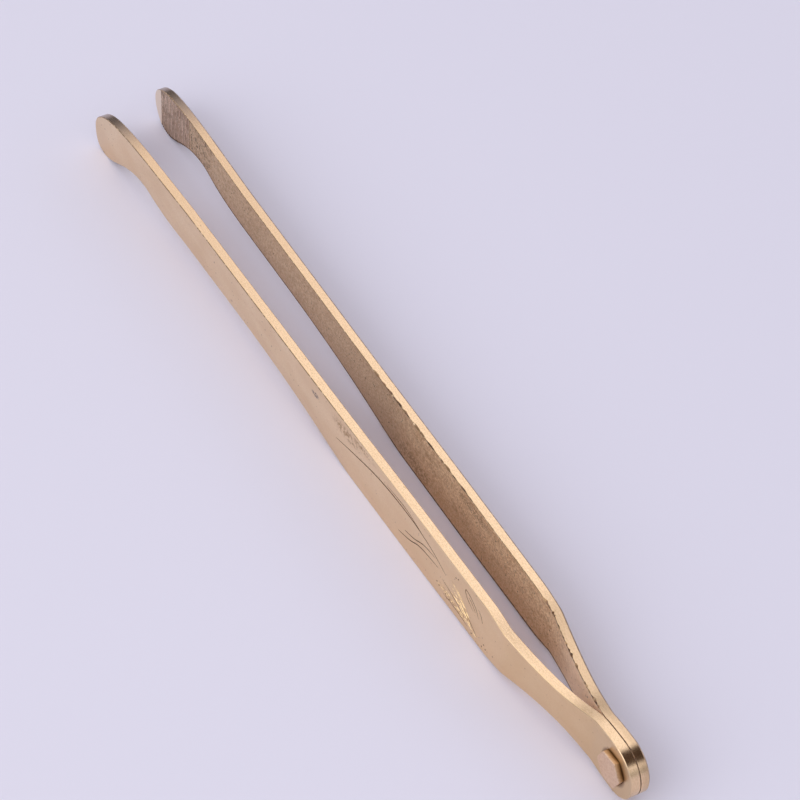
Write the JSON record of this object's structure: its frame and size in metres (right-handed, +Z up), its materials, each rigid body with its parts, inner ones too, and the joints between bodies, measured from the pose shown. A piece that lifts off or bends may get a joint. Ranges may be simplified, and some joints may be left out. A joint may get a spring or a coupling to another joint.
{
  "type": "spring tongs",
  "caption": "Slim brass spring tongs: flat strips on edge, screwed tail to tail, splayed at the neck and ending in drooping jaws with grooved gripping faces.",
  "frame": {"origin": "Middle of the length and of the width, on the table the tongs lie on: the lower edges of the handle and jaws are at Z = 0.", "axes": "+X runs along the tongs from the tail screw to the jaws, +Y is towards the left arm, on which the screw's head lies, +Z is up."},
  "size_m": [0.1756, 0.0144, 0.0113],
  "materials": {
    "arm_brass": "satin, fine brushed edges",
    "screw_brass": "satin"
  },
  "bodies": {
    "right_tail": {"right_tail": "arm_brass", "tail_screw": "screw_brass"},
    "right_arm": {"right_arm": "arm_brass"},
    "left_tail": {"left_tail": "arm_brass"},
    "left_arm": {"left_arm": "arm_brass"}
  },
  "joints": [
    {"name": "right_flex", "type": "hinge", "parent": "right_tail", "child": "right_arm", "pos_m": [-0.0646, -0.00292, 0.0058], "axis": [0, 0, 1], "range_deg": [0, 2], "stiffness_Nm_per_rad": 9},
    {"name": "tail_pivot", "type": "hinge", "parent": "right_tail", "child": "left_tail", "pos_m": [-0.0826, 0.00088, 0.0058], "axis": [0, -1, 0], "continuous": true},
    {"name": "left_flex", "type": "hinge", "parent": "left_tail", "child": "left_arm", "pos_m": [-0.0646, 0.00292, 0.0058], "axis": [0, 0, -1], "range_deg": [0, 2], "stiffness_Nm_per_rad": 9}
  ]
}
